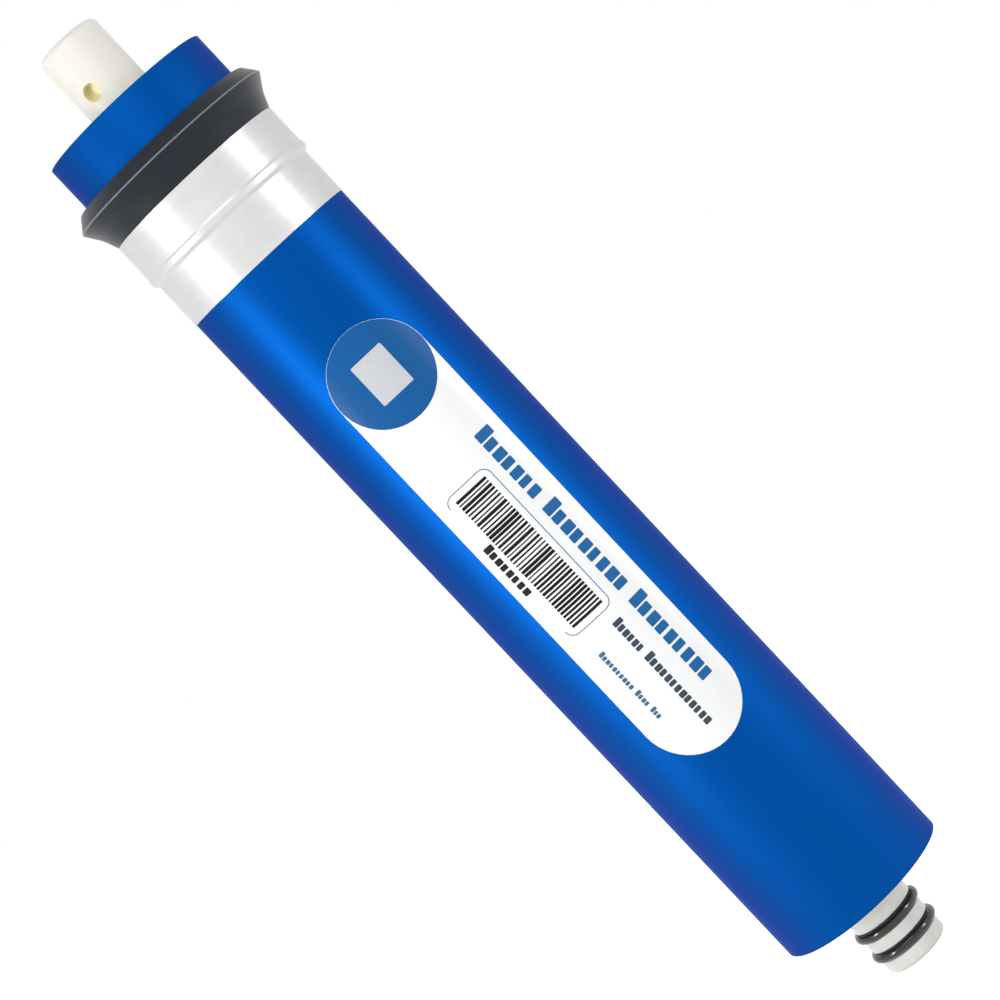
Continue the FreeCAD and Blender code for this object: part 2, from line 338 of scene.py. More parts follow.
for index in range(PERMEATE_COUNT):
    side = Vector(((-1) ** index, 0, 0))
    on_axis = Vector((0, 0, first_hole + index * hole_step))
    drills.append(drill(PERMEATE_R, 2 * TUBE_R, on_axis, side, 20))
bored(tube, drills)
tube.data.materials.append(tube_material())
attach(tube, "root")
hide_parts("product_tube")

# --------------------------------------------------------------- permeate carrier
# The permeate carrier is a white polyester tricot, glued to the tube and wound in with
# the membrane. The product water runs along it, round and round, to the tube's holes.
ROLL_START = 8.718 * MM
PITCH = 1.6 * MM
TURNS = 142 / 16
CARRIER_T = 0.34 * MM
MEMBRANE_T = 0.20 * MM
SPACER_T = 0.86 * MM
CLIMB = 2 / 16
ROLL_BEARING = math.pi / 2
TURN_POINTS = 48


def grown(name, tree, values, material):
    """Plain mesh from a node tree, its named inputs and a material."""
    piece = bpy.data.objects.new(name, bpy.data.meshes.new(name))
    bpy.context.scene.collection.objects.link(piece)
    maker = piece.modifiers.new("maker", "NODES")
    maker.node_group = tree
    for item in tree.interface.items_tree:
        if item.in_out == "INPUT" and item.name != "Material":
            maker[item.identifier] = values[item.name]
        elif item.in_out == "INPUT":
            maker[item.identifier] = material
    graph = bpy.context.evaluated_depsgraph_get()
    mesh = bpy.data.meshes.new_from_object(piece.evaluated_get(graph))
    piece.modifiers.clear()
    shape = bmesh.new()
    shape.from_mesh(mesh)
    bmesh.ops.remove_doubles(shape, verts=shape.verts, dist=1e-8)
    bmesh.ops.recalc_face_normals(shape, faces=shape.faces)
    shape.to_mesh(mesh)
    shape.free()
    piece.data = mesh
    mesh.shade_smooth()
    mesh.set_sharp_from_angle(angle=math.radians(SHARP_ANGLE))
    return piece


def tree_with(name, sizes):
    """Geometry node tree with named inputs, and its given values."""
    tree = bpy.data.node_groups.new(name, "GeometryNodeTree")
    for label, kind in sizes.items():
        tree.interface.new_socket(name=label, in_out="INPUT", socket_type="NodeSocket" + kind)
    tree.interface.new_socket(name="Material", in_out="INPUT", socket_type="NodeSocketMaterial")
    tree.interface.new_socket(name="Geometry", in_out="OUTPUT", socket_type="NodeSocketGeometry")
    return tree, node(tree, "NodeGroupInput").outputs


def ended(tree, given, geometry):
    """Ends a tree with its pieces made real and their material set."""
    solid = node(tree, "GeometryNodeRealizeInstances", {0: geometry}).outputs[0]
    painted = node(tree, "GeometryNodeSetMaterial", {"Geometry": solid, "Material": given["Material"]})
    tree.links.new(painted.outputs[0], node(tree, "NodeGroupOutput").inputs[0])
    return tree


def climbing_radius(tree, turns, start, pitch):
    """Radius after some turns: each turn is round, then climbs on to the one below."""
    whole = calc(tree, "FLOOR", turns)
    rest = calc(tree, "SUBTRACT", turns, whole)
    climbed = steps(tree, rest, 1.0 - CLIMB, 1.0)
    return calc(tree, "MULTIPLY_ADD", calc(tree, "ADD", whole, climbed), pitch, start)


def round_the_tube(tree, turns, radius, height):
    """Position on the roll from its turns, radius and height."""
    angle = calc(tree, "MULTIPLY_ADD", turns, TURN, ROLL_BEARING)
    x = calc(tree, "MULTIPLY", calc(tree, "COSINE", angle), radius)
    y = calc(tree, "MULTIPLY", calc(tree, "SINE", angle), radius)
    return node(tree, "ShaderNodeCombineXYZ", {0: x, 1: y, 2: height}).outputs[0]


def sheet_tree():
    """A sheet wound from its inner end, or folded at it and wound with both halves."""
    sizes = dict.fromkeys(("Start", "Fold Start", "Pitch", "Turns", "Thickness"), "Float")
    sizes.update({"Bottom": "Float", "Length": "Float", "Points": "Int", "Folded": "Float"})
    tree, given = tree_with("wound_sheet", sizes)
    line = node(tree, "GeometryNodeMeshLine", {"Count": given["Points"]}).outputs[0]
    path = node(tree, "GeometryNodeMeshToCurve", {0: line}).outputs[0]
    index = node(tree, "GeometryNodeInputIndex").outputs[0]
    last = calc(tree, "SUBTRACT", given["Points"], 1.0)
    share = calc(tree, "DIVIDE", index, last)
    both_ways = calc(tree, "MULTIPLY_ADD", share, 2.0, -1.0)
    one_way = calc(tree, "MULTIPLY", share, calc(tree, "SUBTRACT", 1.0, given["Folded"]))
    along = calc(tree, "MULTIPLY_ADD", both_ways, given["Folded"], one_way)
    turns = calc(tree, "MULTIPLY", calc(tree, "ABSOLUTE", along), given["Turns"])
    outer = calc(tree, "LESS_THAN", along, 0.0)
    fold = calc(tree, "SUBTRACT", given["Fold Start"], given["Start"])
    start = calc(tree, "MULTIPLY_ADD", outer, fold, given["Start"])
    middle = calc(tree, "MULTIPLY_ADD", given["Thickness"], 0.5, start)
    radius = climbing_radius(tree, turns, middle, given["Pitch"])
    height = calc(tree, "MULTIPLY_ADD", given["Length"], 0.5, given["Bottom"])
    place = round_the_tube(tree, turns, radius, height)
    wound = node(tree, "GeometryNodeSetPosition", {"Geometry": path, "Position": place}).outputs[0]
    upright = node(tree, "GeometryNodeSetCurveNormal", {"Curve": wound}, mode="Z_UP")
    across = {"Width": given["Thickness"], "Height": given["Length"]}
    section = node(tree, "GeometryNodeCurvePrimitiveQuadrilateral", across)
    sheet = node(
        tree,
        "GeometryNodeCurveToMesh",
        {"Curve": upright.outputs[0], "Profile Curve": section.outputs[0], "Fill Caps": True},
    )
    return ended(tree, given, sheet.outputs[0])


def cloth_material(name, light, dark, scale, rough):
    """Fibre sheet: a fine knit that shows in its colour and relief."""
    material, tree, shader = new_material(name)
    where = placed(tree, 20.0)
    grain = grained(tree, where.outputs["Place"], scale, 0.6, rough, 0.08)
    shade = blend_colour(tree, steps(tree, grain.outputs["Relief"], 0.35, 0.65), dark, light)
    laid_on(tree, shader, shade, grain, 0.25, 0.0001)
    shader.inputs["Specular IOR Level"].default_value = 0.2
    return material


WOUND_SHEET = sheet_tree()
roll_sizes = {
    "Start": ROLL_START,
    "Fold Start": ROLL_START,
    "Pitch": PITCH,
    "Turns": TURNS,
    "Thickness": CARRIER_T,
    "Bottom": ROLL_BOTTOM,
    "Length": ROLL_TOP - ROLL_BOTTOM,
    "Points": int(TURNS * TURN_POINTS),
    "Folded": 0.0,
}
tricot = cloth_material("white_tricot", rgb(240, 240, 236), rgb(214, 216, 214), 3.0, 0.8)
carrier = grown("carrier_tricot", WOUND_SHEET, roll_sizes, tricot)
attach(carrier, "root")
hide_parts("permeate_carrier")

# ------------------------------------------------------------------ membrane leaf
# The membrane is a thin polyamide skin on a cream polyester backing. One sheet is folded
# over the feed spacer, skin inwards, and both its halves are wound in with the carrier.
leaf_sizes = dict(roll_sizes)
leaf_sizes["Start"] = ROLL_START + CARRIER_T
leaf_sizes["Fold Start"] = leaf_sizes["Start"] + MEMBRANE_T + SPACER_T
leaf_sizes["Thickness"] = MEMBRANE_T
leaf_sizes["Points"] = 2 * roll_sizes["Points"]
leaf_sizes["Folded"] = 1.0
backing = cloth_material("membrane_backing", rgb(232, 228, 210), rgb(206, 202, 184), 2.0, 0.6)
leaf = grown("membrane_leaf", WOUND_SHEET, leaf_sizes, backing)
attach(leaf, "root")
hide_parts("membrane_sheet")

# ------------------------------------------------------------------- feed spacer
# The feed spacer is an extruded polypropylene netting: two layers of slanting strands,
# welded where they cross. It lies in the fold of the membrane and the feed runs in it.
STRAND_T = SPACER_T / 2
STRAND_STEP = 2.6 * MM
NET_DEPTH = 5.0 * MM
SPACER_START = ROLL_START + CARRIER_T + MEMBRANE_T


def netting_tree():
    """Slanting strands in two layers at both ends of the roll, wound with it."""
    sizes = {"Start": "Float", "Pitch": "Float", "Strands": "Int", "Step": "Float", "Strand": "Float"}
    sizes.update({"Bottom": "Float", "Top": "Float", "Depth": "Float"})
    tree, given = tree_with("wound_netting", sizes)
    index = node(tree, "GeometryNodeInputIndex").outputs[0]
    layer = calc(tree, "MODULO", index, 2.0)
    upper = calc(tree, "MODULO", calc(tree, "FLOOR", calc(tree, "DIVIDE", index, 2.0)), 2.0)
    number = calc(tree, "FLOOR", calc(tree, "DIVIDE", index, 4.0))
    inset = calc(tree, "MULTIPLY", calc(tree, "ADD", number, 2.5), given["Step"])
    level = calc(tree, "MULTIPLY", calc(tree, "ADD", layer, 0.5), given["Strand"])
    upper_foot = calc(tree, "SUBTRACT", given["Top"], given["Depth"])
    rise = calc(tree, "MULTIPLY", upper, calc(tree, "SUBTRACT", upper_foot, given["Bottom"]))
    foot = calc(tree, "ADD", given["Bottom"], rise)
    place = node(tree, "ShaderNodeCombineXYZ", {0: inset, 1: level, 2: foot}).outputs[0]
    count = calc(tree, "MULTIPLY", given["Strands"], 4.0)
    points = node(tree, "GeometryNodePoints", {"Count": count, "Position": place}).outputs[0]
    lean = calc(tree, "MULTIPLY_ADD", layer, 2.0, -1.0)
    for label, value in (("lean", lean), ("foot", foot)):
        points = node(
            tree, "GeometryNodeStoreNamedAttribute", {"Geometry": points, "Name": label, "Value": value}
        ).outputs[0]
    strand = node(
        tree,
        "GeometryNodeMeshCylinder",
        {"Vertices": 6, "Side Segments": 2, "Radius": 1.0, "Depth": 1.0},
        fill_type="NGON",
    ).outputs[0]
    strand = node(tree, "GeometryNodeTransform", {"Geometry": strand, "Translation": (0, 0, 0.5)}).outputs[0]
    thin = calc(tree, "MULTIPLY", given["Strand"], 0.48)
    size = node(tree, "ShaderNodeCombineXYZ", {0: thin, 1: thin, 2: given["Depth"]}).outputs[0]
    row = node(
        tree, "GeometryNodeInstanceOnPoints", {"Points": points, "Instance": strand, "Scale": size}
    ).outputs[0]
    solid = node(tree, "GeometryNodeRealizeInstances", {0: row}).outputs[0]
    position = node(tree, "GeometryNodeInputPosition").outputs[0]
    here = node(tree, "ShaderNodeSeparateXYZ", {0: position}).outputs
    own_lean = node(tree, "GeometryNodeInputNamedAttribute", {"Name": "lean"}).outputs[0]
    own_foot = node(tree, "GeometryNodeInputNamedAttribute", {"Name": "foot"}).outputs[0]
    above = calc(tree, "SUBTRACT", here[2], own_foot)
    length = calc(tree, "MULTIPLY_ADD", above, own_lean, here[0])
    start = given["Start"]
    square = calc(tree, "MULTIPLY", start, start)
    under_root = calc(tree, "MULTIPLY_ADD", length, calc(tree, "DIVIDE", given["Pitch"], math.pi), square)
    climb = calc(tree, "SUBTRACT", calc(tree, "SQRT", under_root), start)
    turns = calc(tree, "DIVIDE", climb, given["Pitch"])
    radius = calc(tree, "ADD", climbing_radius(tree, turns, start, given["Pitch"]), here[1])
    place = round_the_tube(tree, turns, radius, here[2])
    net = node(tree, "GeometryNodeSetPosition", {"Geometry": solid, "Position": place}).outputs[0]
    return ended(tree, given, net)


def netting_material():
    """Milky polypropylene."""
    material, tree, shader = new_material("milky_netting")
    where = placed(tree, 20.0)
    grain = grained(tree, where.outputs["Place"], 1.0, 1.0, 0.42, 0.1)
    shade = blend_colour(tree, grain.outputs["Relief"], rgb(206, 212, 214), rgb(230, 234, 234))
    laid_on(tree, shader, shade, grain)
    shader.inputs["Specular IOR Level"].default_value = 0.4
    return material


spacer_length = TURN * (SPACER_START * TURNS + PITCH * TURNS * TURNS / 2)
net_sizes = {
    "Start": SPACER_START,
    "Pitch": PITCH,
    "Strands": int(spacer_length / STRAND_STEP) - 5,
    "Step": STRAND_STEP,
    "Strand": STRAND_T,
    "Bottom": ROLL_BOTTOM,
    "Top": ROLL_TOP,
    "Depth": NET_DEPTH,
}
milky = netting_material()
netting = grown("spacer_netting", netting_tree(), net_sizes, milky)
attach(netting, "root")
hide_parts("feed_spacer")
core_sizes = dict(roll_sizes)
core_sizes["Start"] = SPACER_START + STRAND_T / 2
core_sizes["Thickness"] = STRAND_T
core_sizes["Bottom"] = ROLL_BOTTOM + NET_DEPTH
core_sizes["Length"] = ROLL_TOP - ROLL_BOTTOM - 2 * NET_DEPTH
spacer_core = grown("spacer_core", WOUND_SHEET, core_sizes, milky)
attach(spacer_core, "root")
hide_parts("feed_spacer")

# -------------------------------------------------------------------- glue lines
# Amber polyurethane glue bonds the carrier to the tube and closes the leaf's outer end.
# It is laid on wet while the roll is wound, and cures in it.
glue, glue_tree, glue_shader = new_material("amber_glue")
glue_place = placed(glue_tree, 20.0)
glue_grain = grained(glue_tree, glue_place.outputs["Place"], 0.8, 1.0, 0.3, 0.1)
glue_shade = blend_colour(glue_tree, glue_grain.outputs["Relief"], rgb(186, 150, 88), rgb(214, 184, 124))
laid_on(glue_tree, glue_shader, glue_shade, glue_grain)
for glue_node in ("core_bond", "leaf_glue_line"):
    bond = bpy.data.objects[glue_node]
    bond.data.materials.clear()
    bond.data.materials.append(glue)

# -------------------------------------------------------------------- outer wrap
# The roll is held tight by glossy blue film, wound round it several times and stuck
# down along a straight edge at the back. It covers the roll from end to end.
WRAP_R = wrap_high.x
WRAP_INNER = WRAP_R - 0.28 * MM
FILM_STEP = 0.06 * MM
FILM_EDGE = math.radians(171.0)
FILM_FADE = math.radians(24.0)
WRAP_EDGE_ROUND = 0.08 * MM


def film_lift(angle, radius, height):
    """The last turn of film stands proud up to its edge, and fades into the roll."""
    past = (angle - FILM_EDGE) % TURN
    if radius < WRAP_R - 0.1 * MM or past > FILM_FADE:
        return 0.0
    return FILM_STEP * (1 - past / FILM_FADE)


def film_material():
    """Blue film: a metallised satin sheen, with faint long ripples."""
    material, tree, shader = new_material("blue_film")
    where = placed(tree, WRAP_R / MM)
    grain = grained(tree, where.outputs["Place"], 0.05, 0.25, 0.47, 0.05)
    shade = blend_colour(tree, grain.outputs["Relief"], rgb(0, 68, 142), rgb(2, 73, 149))
    laid_on(tree, shader, shade, grain, 0.06, 0.0005)
    shader.inputs["Metallic"].default_value = 0.75
    shader.inputs["Specular IOR Level"].default_value = 0.3
    shader.inputs["Specular Tint"].default_value = (0.1, 0.3, 0.7, 1.0)
    return material


wrap_corners = [
    (WRAP_INNER, ROLL_BOTTOM, 0),
    (WRAP_R, ROLL_BOTTOM, WRAP_EDGE_ROUND),
    (WRAP_R, ROLL_TOP, WRAP_EDGE_ROUND),
    (WRAP_INNER, ROLL_TOP, 0),
]
wrap = turned("wrap_film", rounded(wrap_corners, 3), segments=256, swell=film_lift)
wrap.data.materials.append(film_material())
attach(wrap, "root")
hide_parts("outer_wrap")

# -------------------------------------------------------------------- brine seal
# The brine seal is a moulded EPDM ring stretched over the wrap. Its lip flares towards
# the feed end. Feed water fills the cup in its front and presses the lip on the housing.
seal_low, seal_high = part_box("brine_seal")
SEAL_FRONT = seal_high.z
SEAL_END = seal_low.z
RIDGE_R = seal_high.x
RIDGE_Z = SEAL_FRONT - 3.4 * MM
FLARE_Z = RIDGE_Z - 8.0 * MM
FLARE_DIP = 0.55 * MM
SKIRT_R = WRAP_R + 0.83 * MM
BEAD_HEIGHT = 0.28 * MM
BEAD_LENGTH = 2.4 * MM
CUP_WALL = 0.8 * MM
CUP_WIDTH = 0.8 * MM
CUP_DEPTH = 7.0 * MM
CUP_R = WRAP_R + CUP_WALL
CUP_OUTER_R = CUP_R + CUP_WIDTH
NOSE_R = WRAP_R + 2.45 * MM
SEAL_R = WRAP_R + 0.02 * MM
CUP_EDGE = 0.15 * MM
CUP_CORNER = 0.35 * MM


def seal_material():
    """Charcoal EPDM, satin from its mould, with a painted highlight along its ridge."""
    material, tree, shader = new_material("moulded_epdm")
    where = placed(tree, RIDGE_R / MM)
    grain = grained(tree, where.outputs["Place"], 0.9, 1.0, 0.34, 0.08)
    shade = blend_colour(tree, grain.outputs["Relief"], rgb(18, 24, 32), rgb(28, 35, 44))
    # Painted highlight: a paler colour on the ridge, at the seal's greatest radius.
    painted_ridge_highlight = steps(tree, where.outputs["Out"], RIDGE_R / MM - 0.22, RIDGE_R / MM - 0.05)
    shade = blend_colour(tree, painted_ridge_highlight, shade, rgb(120, 130, 138))
    laid_on(tree, shader, shade, grain, 0.12, 0.0002)
    shader.inputs["Specular IOR Level"].default_value = 0.22
    return material


seal_corners = [
    (SEAL_R, SEAL_END, 0),
    (SKIRT_R + BEAD_HEIGHT, SEAL_END + BEAD_LENGTH / 2, 0.5 * MM),
    (SKIRT_R, SEAL_END + BEAD_LENGTH, 0.4 * MM),
    (SKIRT_R, FLARE_Z, 1.0 * MM),
    ((SKIRT_R + RIDGE_R) / 2 - FLARE_DIP, (FLARE_Z + RIDGE_Z) / 2, 9.0 * MM),
    (RIDGE_R, RIDGE_Z, 0.14 * MM),
    (NOSE_R, SEAL_FRONT, 0.2 * MM),
    (CUP_OUTER_R, SEAL_FRONT, CUP_EDGE),
    (CUP_OUTER_R, SEAL_FRONT - CUP_DEPTH, CUP_CORNER),
    (CUP_R, SEAL_FRONT - CUP_DEPTH, CUP_CORNER),
    (CUP_R, SEAL_FRONT, CUP_EDGE),
    (SEAL_R, SEAL_FRONT, CUP_EDGE),
]
seal = turned("seal_rubber_ring", rounded(seal_corners), segments=256)
seal.data.materials.append(seal_material())
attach(seal, "root")
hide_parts("brine_seal")

# --------------------------------------------------------------------- seal tape
# Silver polyester tape is wound over the seal's skirt and on to the blue wrap, so that
# the seal can't creep. The bead round the skirt's end shows through it as a raised ring.
TAPE_T = 0.12 * MM
TAPE_GAP = 0.02 * MM
tape_low, tape_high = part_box("seal_tape")
TAPE_BOTTOM = tape_low.z
TAPE_TOP = tape_high.z
TAPE_EDGE = math.radians(158.0)


def tape_lift(angle, radius, height):
    """The tape's outer end laps over its start at the back."""
    past = (angle - TAPE_EDGE) % TURN
    if past > FILM_FADE:
        return 0.0
    return TAPE_T / 2 * (1 - past / FILM_FADE)


def tape_material():
    """Silver film over glue: pale, satin, with fine lines round the roll."""
    material, tree, shader = new_material("silver_tape")
    where = placed(tree, WRAP_R / MM)
    grain = grained(tree, where.outputs["Place"], 0.12, 6.0, 0.36, 0.10)
    shade = blend_colour(tree, grain.outputs["Relief"], rgb(204, 204, 205), rgb(218, 218, 219))
    laid_on(tree, shader, shade, grain, 0.05, 0.0003)
    shader.inputs["Metallic"].default_value = 0.4
    return material


tape_under = [
    (SKIRT_R, TAPE_TOP, 0),
    (SKIRT_R, SEAL_END + BEAD_LENGTH, 0.3 * MM),
    (SKIRT_R + BEAD_HEIGHT, SEAL_END + BEAD_LENGTH * 0.8, 0.25 * MM),
    (SKIRT_R + BEAD_HEIGHT, SEAL_END + BEAD_LENGTH * 0.2, 0.25 * MM),
    (WRAP_R, SEAL_END - 0.5 * MM, 0.5 * MM),
    (WRAP_R, TAPE_BOTTOM, 0),
]
tape_over = [(r + TAPE_T, z, bend) for r, z, bend in reversed(tape_under)]
tape_corners = [(r + TAPE_GAP, z, bend) for r, z, bend in tape_under + tape_over]
tape = turned("tape_band", rounded(tape_corners, 4), segments=256, swell=tape_lift)
tape.data.materials.append(tape_material())
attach(tape, "root")
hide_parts("seal_tape")

# ------------------------------------------------------------------------- label
# The label is a long pill of gloss white paper, stuck along the front of the blue wrap.
# It is printed with a blue disc, plain bars where the lettering goes, and a stripe code.
label_low, label_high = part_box("label")
LABEL_R = WRAP_R + 0.02 * MM
LABEL_T = 0.10 * MM
LABEL_TURN = math.radians(1.5)
LABEL_HALF = 12.85 * MM
LABEL_TOP = label_high.z
LABEL_BOTTOM = label_low.z
INK_T = 0.02 * MM
SLICE = 1.2 * MM
PRINT_R = LABEL_R + LABEL_T


def arc_points(x, z, radius, start, end, count=24):
    """Points of an arc on the flat, angles in degrees from +X towards +Z."""
    points = []
    for step in range(count + 1):
        angle = math.radians(start + (end - start) * step / count)
        points.append((x + radius * math.cos(angle), z + radius * math.sin(angle)))
    return points


def pill(x, top, bottom, half):
    """Outline of an upright pill."""
    return arc_points(x, top - half, half, 0, 180) + arc_points(x, bottom + half, half, 180, 360)


def wrapped(name, outlines, base, thickness):
    """Thin slabs with the given outlines as seen from the front, curved round the wrap."""
    slab = bmesh.new()
    for outline in outlines:
        corners = [slab.verts.new((x, 0, z)) for x, z in outline]
        slab.faces.new(corners)
    across = [vert.co.x for vert in slab.verts]
    cuts = math.ceil((max(across) - min(across)) / SLICE)
    for index in range(1, cuts):
        at = min(across) + index * SLICE
        everything = slab.verts[:] + slab.edges[:] + slab.faces[:]
        cut = {"plane_co": (at, 0, 0), "plane_no": (1, 0, 0), "dist": 1e-7}
        bmesh.ops.bisect_plane(slab, geom=everything, **cut)
    raised = bmesh.ops.extrude_face_region(slab, geom=slab.faces[:])
    outer = {part for part in raised["geom"] if isinstance(part, bmesh.types.BMVert)}
    for vert in slab.verts:
        lean = math.asin(max(-1.0, min(1.0, vert.co.x / base))) + LABEL_TURN
        reach = base + (thickness if vert in outer else 0.0)
        vert.co = (reach * math.sin(lean), -reach * math.cos(lean), vert.co.z)
    bmesh.ops.recalc_face_normals(slab, faces=slab.faces)
    return finished(name, slab, 20.0)


def block(x, top, bottom, half):
    """Outline of an upright rectangle with softened corners."""
    soft = min(0.3 * MM, half / 2, (top - bottom) / 3)
    ring = []
    high = top - soft
    low = bottom + soft
    for side, end, start in ((1, high, 0), (-1, high, 90), (-1, low, 180), (1, low, 270)):
        ring += arc_points(x + side * (half - soft), end, soft, start, start + 90, 3)
    return ring


def paper_material():
    """Gloss-coated white paper with the faintest fibre."""
    material, tree, shader = new_material("gloss_paper")
    where = placed(tree, PRINT_R / MM)
    grain = grained(tree, where.outputs["Place"], 1.4, 1.0, 0.34, 0.08)
    shade = blend_colour(tree, grain.outputs["Relief"], rgb(244, 245, 246), rgb(252, 252, 252))
    laid_on(tree, shader, shade, grain, 0.04, 0.0001)
    return material


def ink_material(name, light, dark):
    """Printing ink that lies a little unevenly on the paper."""
    material, tree, shader = new_material(name)
    where = placed(tree, PRINT_R / MM)
    grain = grained(tree, where.outputs["Place"], 2.2, 1.0, 0.38, 0.08)
    shade = blend_colour(tree, grain.outputs["Relief"], dark, light)
    laid_on(tree, shader, shade, grain)
    shader.inputs["Specular IOR Level"].default_value = 0.12
    return material


label = wrapped("label_paper", [pill(0.0, LABEL_TOP, LABEL_BOTTOM, LABEL_HALF)], LABEL_R, LABEL_T)
label.data.materials.append(paper_material())
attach(label, "root")
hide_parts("label")


def printed(name, outlines, ink, under=0):
    """Ink shapes on the label's face, or on the ink that lies under them."""
    shape = wrapped(name, outlines, PRINT_R + under * INK_T, INK_T)
    shape.data.materials.append(ink)
    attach(shape, "root")
    return shape


def word_blocks(x, height, start, words, size):
    """Plain blocks in rows, as long as the words of a printed line, from a start downwards."""
    blocks = []
    top = start
    for word in words:
        count = max(1, round(word / size))
        each = word / count
        for index in range(count):
            tall = height * (0.5 if index == 0 else 0.37)
            share = 0.86 if index == 0 else 0.66 + 0.05 * (index * 2 % 5)
            head = top - each * index
            blocks.append(block(x + tall - height / 2, head, head - each * share, tall))
        top -= word + 0.8 * size
    return blocks


def open_frame(high, low, top, bottom, bend, width):
    """Outline of a thin round-cornered frame that is open along its low side."""
    edges = []
    for inset in (0.0, width):
        turn = bend - inset
        path = arc_points(low + bend, top - bend, turn, 180, 90, 8)
        path += arc_points(high - bend, top - bend, turn, 90, 0, 8)
        path += arc_points(high - bend, bottom + bend, turn, 0, -90, 8)
        path += arc_points(low + bend, bottom + bend, turn, -90, -180, 8)
        edges.append(path)
    return [edges[0] + edges[1][::-1]]


disc_ink = ink_material("disc_ink", rgb(28, 98, 166), rgb(22, 88, 152))
title_ink = ink_material("title_ink", rgb(38, 110, 172), rgb(28, 98, 160))
black_ink = ink_material("black_ink", rgb(26, 26, 28), rgb(14, 14, 16))
grey_ink = ink_material("grey_ink", rgb(70, 84, 96), rgb(56, 70, 82))
fine_ink = ink_material("fine_ink", rgb(70, 120, 150), rgb(56, 104, 136))
silver_ink = ink_material("silver_ink", rgb(214, 216, 220), rgb(196, 199, 204))
DISC_Z = LABEL_TOP - LABEL_HALF
printed("print_disc", [arc_points(0.0, DISC_Z, LABEL_HALF - 0.05 * MM, 0, 354, 60)], disc_ink)
printed("print_silver_field", [block(0.0, DISC_Z + 5.8 * MM, DISC_Z - 5.8 * MM, 4.6 * MM)], silver_ink, 1)
title_words = (20.7 * MM, 27.0 * MM, 26.5 * MM)
title = word_blocks(7.8 * MM, 4.4 * MM, LABEL_TOP - 37.7 * MM, title_words, 2.9 * MM)
printed("print_title", title, title_ink)

# The stripe code is made by nodes from its own sizes.
STRIPE_TOP = LABEL_TOP - 45.9 * MM
STRIPE_LENGTH = 40.3 * MM
STRIPE_LOW = -7.9 * MM
STRIPE_HIGH = 1.2 * MM


def stripe_tree():
    """Bars of random width in a row, curved round the label."""
    sizes = {"Count": "Int", "Length": "Float", "Height": "Float"}
    sizes.update({"Ink": "Float", "Radius": "Float", "Seed": "Int"})
    tree, given = tree_with("stripe_code", sizes)
    index = node(tree, "GeometryNodeInputIndex").outputs[0]
    pitch = calc(tree, "DIVIDE", given["Length"], given["Count"])
    down = calc(tree, "MULTIPLY", calc(tree, "MULTIPLY", calc(tree, "ADD", index, 0.5), pitch), -1.0)
    place = node(tree, "ShaderNodeCombineXYZ", {2: down})
    points = node(tree, "GeometryNodePoints", {"Count": given["Count"], "Position": place.outputs[0]})
    shares = {2: 0.3, 3: 0.9, "Seed": given["Seed"]}
    width = node(tree, "FunctionNodeRandomValue", shares, data_type="FLOAT")
    wide = calc(tree, "MULTIPLY", width.outputs[1], pitch)
    size = node(tree, "ShaderNodeCombineXYZ", {0: given["Height"], 1: given["Ink"], 2: wide})
    cube = {"Vertices X": 10, "Vertices Y": 2, "Vertices Z": 2, "Size": (1, 1, 1)}
    bar = node(tree, "GeometryNodeMeshCube", cube)
    row = node(
        tree,
        "GeometryNodeInstanceOnPoints",
        {"Points": points.outputs[0], "Instance": bar.outputs[0], "Scale": size.outputs[0]},
    )
    solid = node(tree, "GeometryNodeRealizeInstances", {0: row.outputs[0]})
    middle = ((STRIPE_LOW + STRIPE_HIGH) / 2, 0, STRIPE_TOP)
    shifted = node(tree, "GeometryNodeTransform", {"Geometry": solid.outputs[0], "Translation": middle})
    position = node(tree, "GeometryNodeInputPosition").outputs[0]
    here = node(tree, "ShaderNodeSeparateXYZ", {0: position}).outputs
    sine = calc(tree, "DIVIDE", here[0], given["Radius"])
    lean = calc(tree, "ADD", calc(tree, "ARCSINE", sine), LABEL_TURN)
    reach = calc(tree, "SUBTRACT", given["Radius"], here[1])
    across = calc(tree, "MULTIPLY", reach, calc(tree, "SINE", lean))
    back = calc(tree, "MULTIPLY", calc(tree, "MULTIPLY", reach, calc(tree, "COSINE", lean)), -1.0)
    curved = node(tree, "ShaderNodeCombineXYZ", {0: across, 1: back, 2: here[2]})
    bend = {"Geometry": shifted.outputs[0], "Position": curved.outputs[0]}
    bent = node(tree, "GeometryNodeSetPosition", bend)
    return ended(tree, given, bent.outputs[0])


stripe_sizes = {
    "Count": 40,
    "Length": STRIPE_LENGTH,
    "Height": STRIPE_HIGH - STRIPE_LOW,
    "Ink": INK_T,
    "Radius": PRINT_R + INK_T / 2,
    "Seed": 12,
}
stripes = grown("print_stripe_code", stripe_tree(), stripe_sizes, black_ink)
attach(stripes, "root")

number = word_blocks(-9.7 * MM, 2.4 * MM, LABEL_TOP - 58.5 * MM, (15.1 * MM,), 1.9 * MM)
printed("print_number", number, black_ink)
model_words = (9.5 * MM, 21.8 * MM)
model_line = word_blocks(0.5 * MM, 2.6 * MM, LABEL_TOP - 91.3 * MM, model_words, 1.7 * MM)
printed("print_model", model_line, grey_ink)
fine_words = (11.4 * MM, 4.4 * MM, 3.0 * MM)
fine_line = word_blocks(-7.3 * MM, 1.6 * MM, LABEL_TOP - 94.6 * MM, fine_words, 1.15 * MM)
printed("print_fine_line", fine_line, fine_ink)
FRAME_TOP = LABEL_TOP - 44.1 * MM
FRAME_BOTTOM = LABEL_TOP - 87.9 * MM
frame_line = open_frame(3.0 * MM, -10.0 * MM, FRAME_TOP, FRAME_BOTTOM, 2.4 * MM, 0.22 * MM)
printed("print_frame", frame_line, fine_ink)

